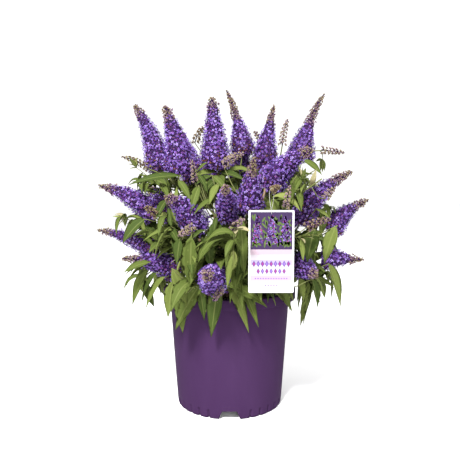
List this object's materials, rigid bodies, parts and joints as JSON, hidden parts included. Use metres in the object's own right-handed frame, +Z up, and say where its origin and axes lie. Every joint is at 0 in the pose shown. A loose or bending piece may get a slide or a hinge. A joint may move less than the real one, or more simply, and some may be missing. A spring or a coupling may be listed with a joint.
{
  "type": "potted butterfly bush",
  "caption": "Butterfly bush in flower, with long purple flower spikes and lance-shaped leaves, in a round moulded nursery pot with a hang tag.",
  "frame": {"origin": "on the pot's axis, at the level of its flat underside", "axes": "+Z up along the pot's axis; -Y towards the side that the hang tag is on; +X to the right seen from that side"},
  "size_m": [0.5737, 0.5348, 0.674],
  "materials": {
    "pot_plastic": "moulded polypropylene, satin, slightly mottled",
    "potting_mix": "damp peat and bark crumbs",
    "bark": "thin ridged tan bark",
    "foliage": "soft green leaves, purple florets and pale young shoots",
    "tag_card": "satin printed card with a white border",
    "tag_loop": "thin pale strand"
  },
  "bodies": {
    "root": {"pot": "pot_plastic", "potting_mix": "potting_mix", "crown_stem": "bark", "bough_top_left": "bark", "bough_top_middle": "bark", "bough_top_right": "bark", "bough_top_back_right": "bark", "bough_top_back_left": "bark", "bough_front_middle": "bark", "bough_front_right": "bark", "bough_right": "bark", "bough_back_right": "bark", "bough_back_middle": "bark", "bough_back_left": "bark", "bough_left": "bark", "bough_front_left": "bark", "foliage_top_left": "foliage", "foliage_top_middle": "foliage", "foliage_top_right": "foliage", "foliage_top_back_right": "foliage", "foliage_top_back_left": "foliage", "foliage_front_middle": "foliage", "foliage_front_right": "foliage", "foliage_right": "foliage", "foliage_back_right": "foliage", "foliage_back_middle": "foliage", "foliage_back_left": "foliage", "foliage_left": "foliage", "foliage_front_left": "foliage", "tag_card": "tag_card", "tag_loop": "tag_loop"}
  },
  "joints": []
}
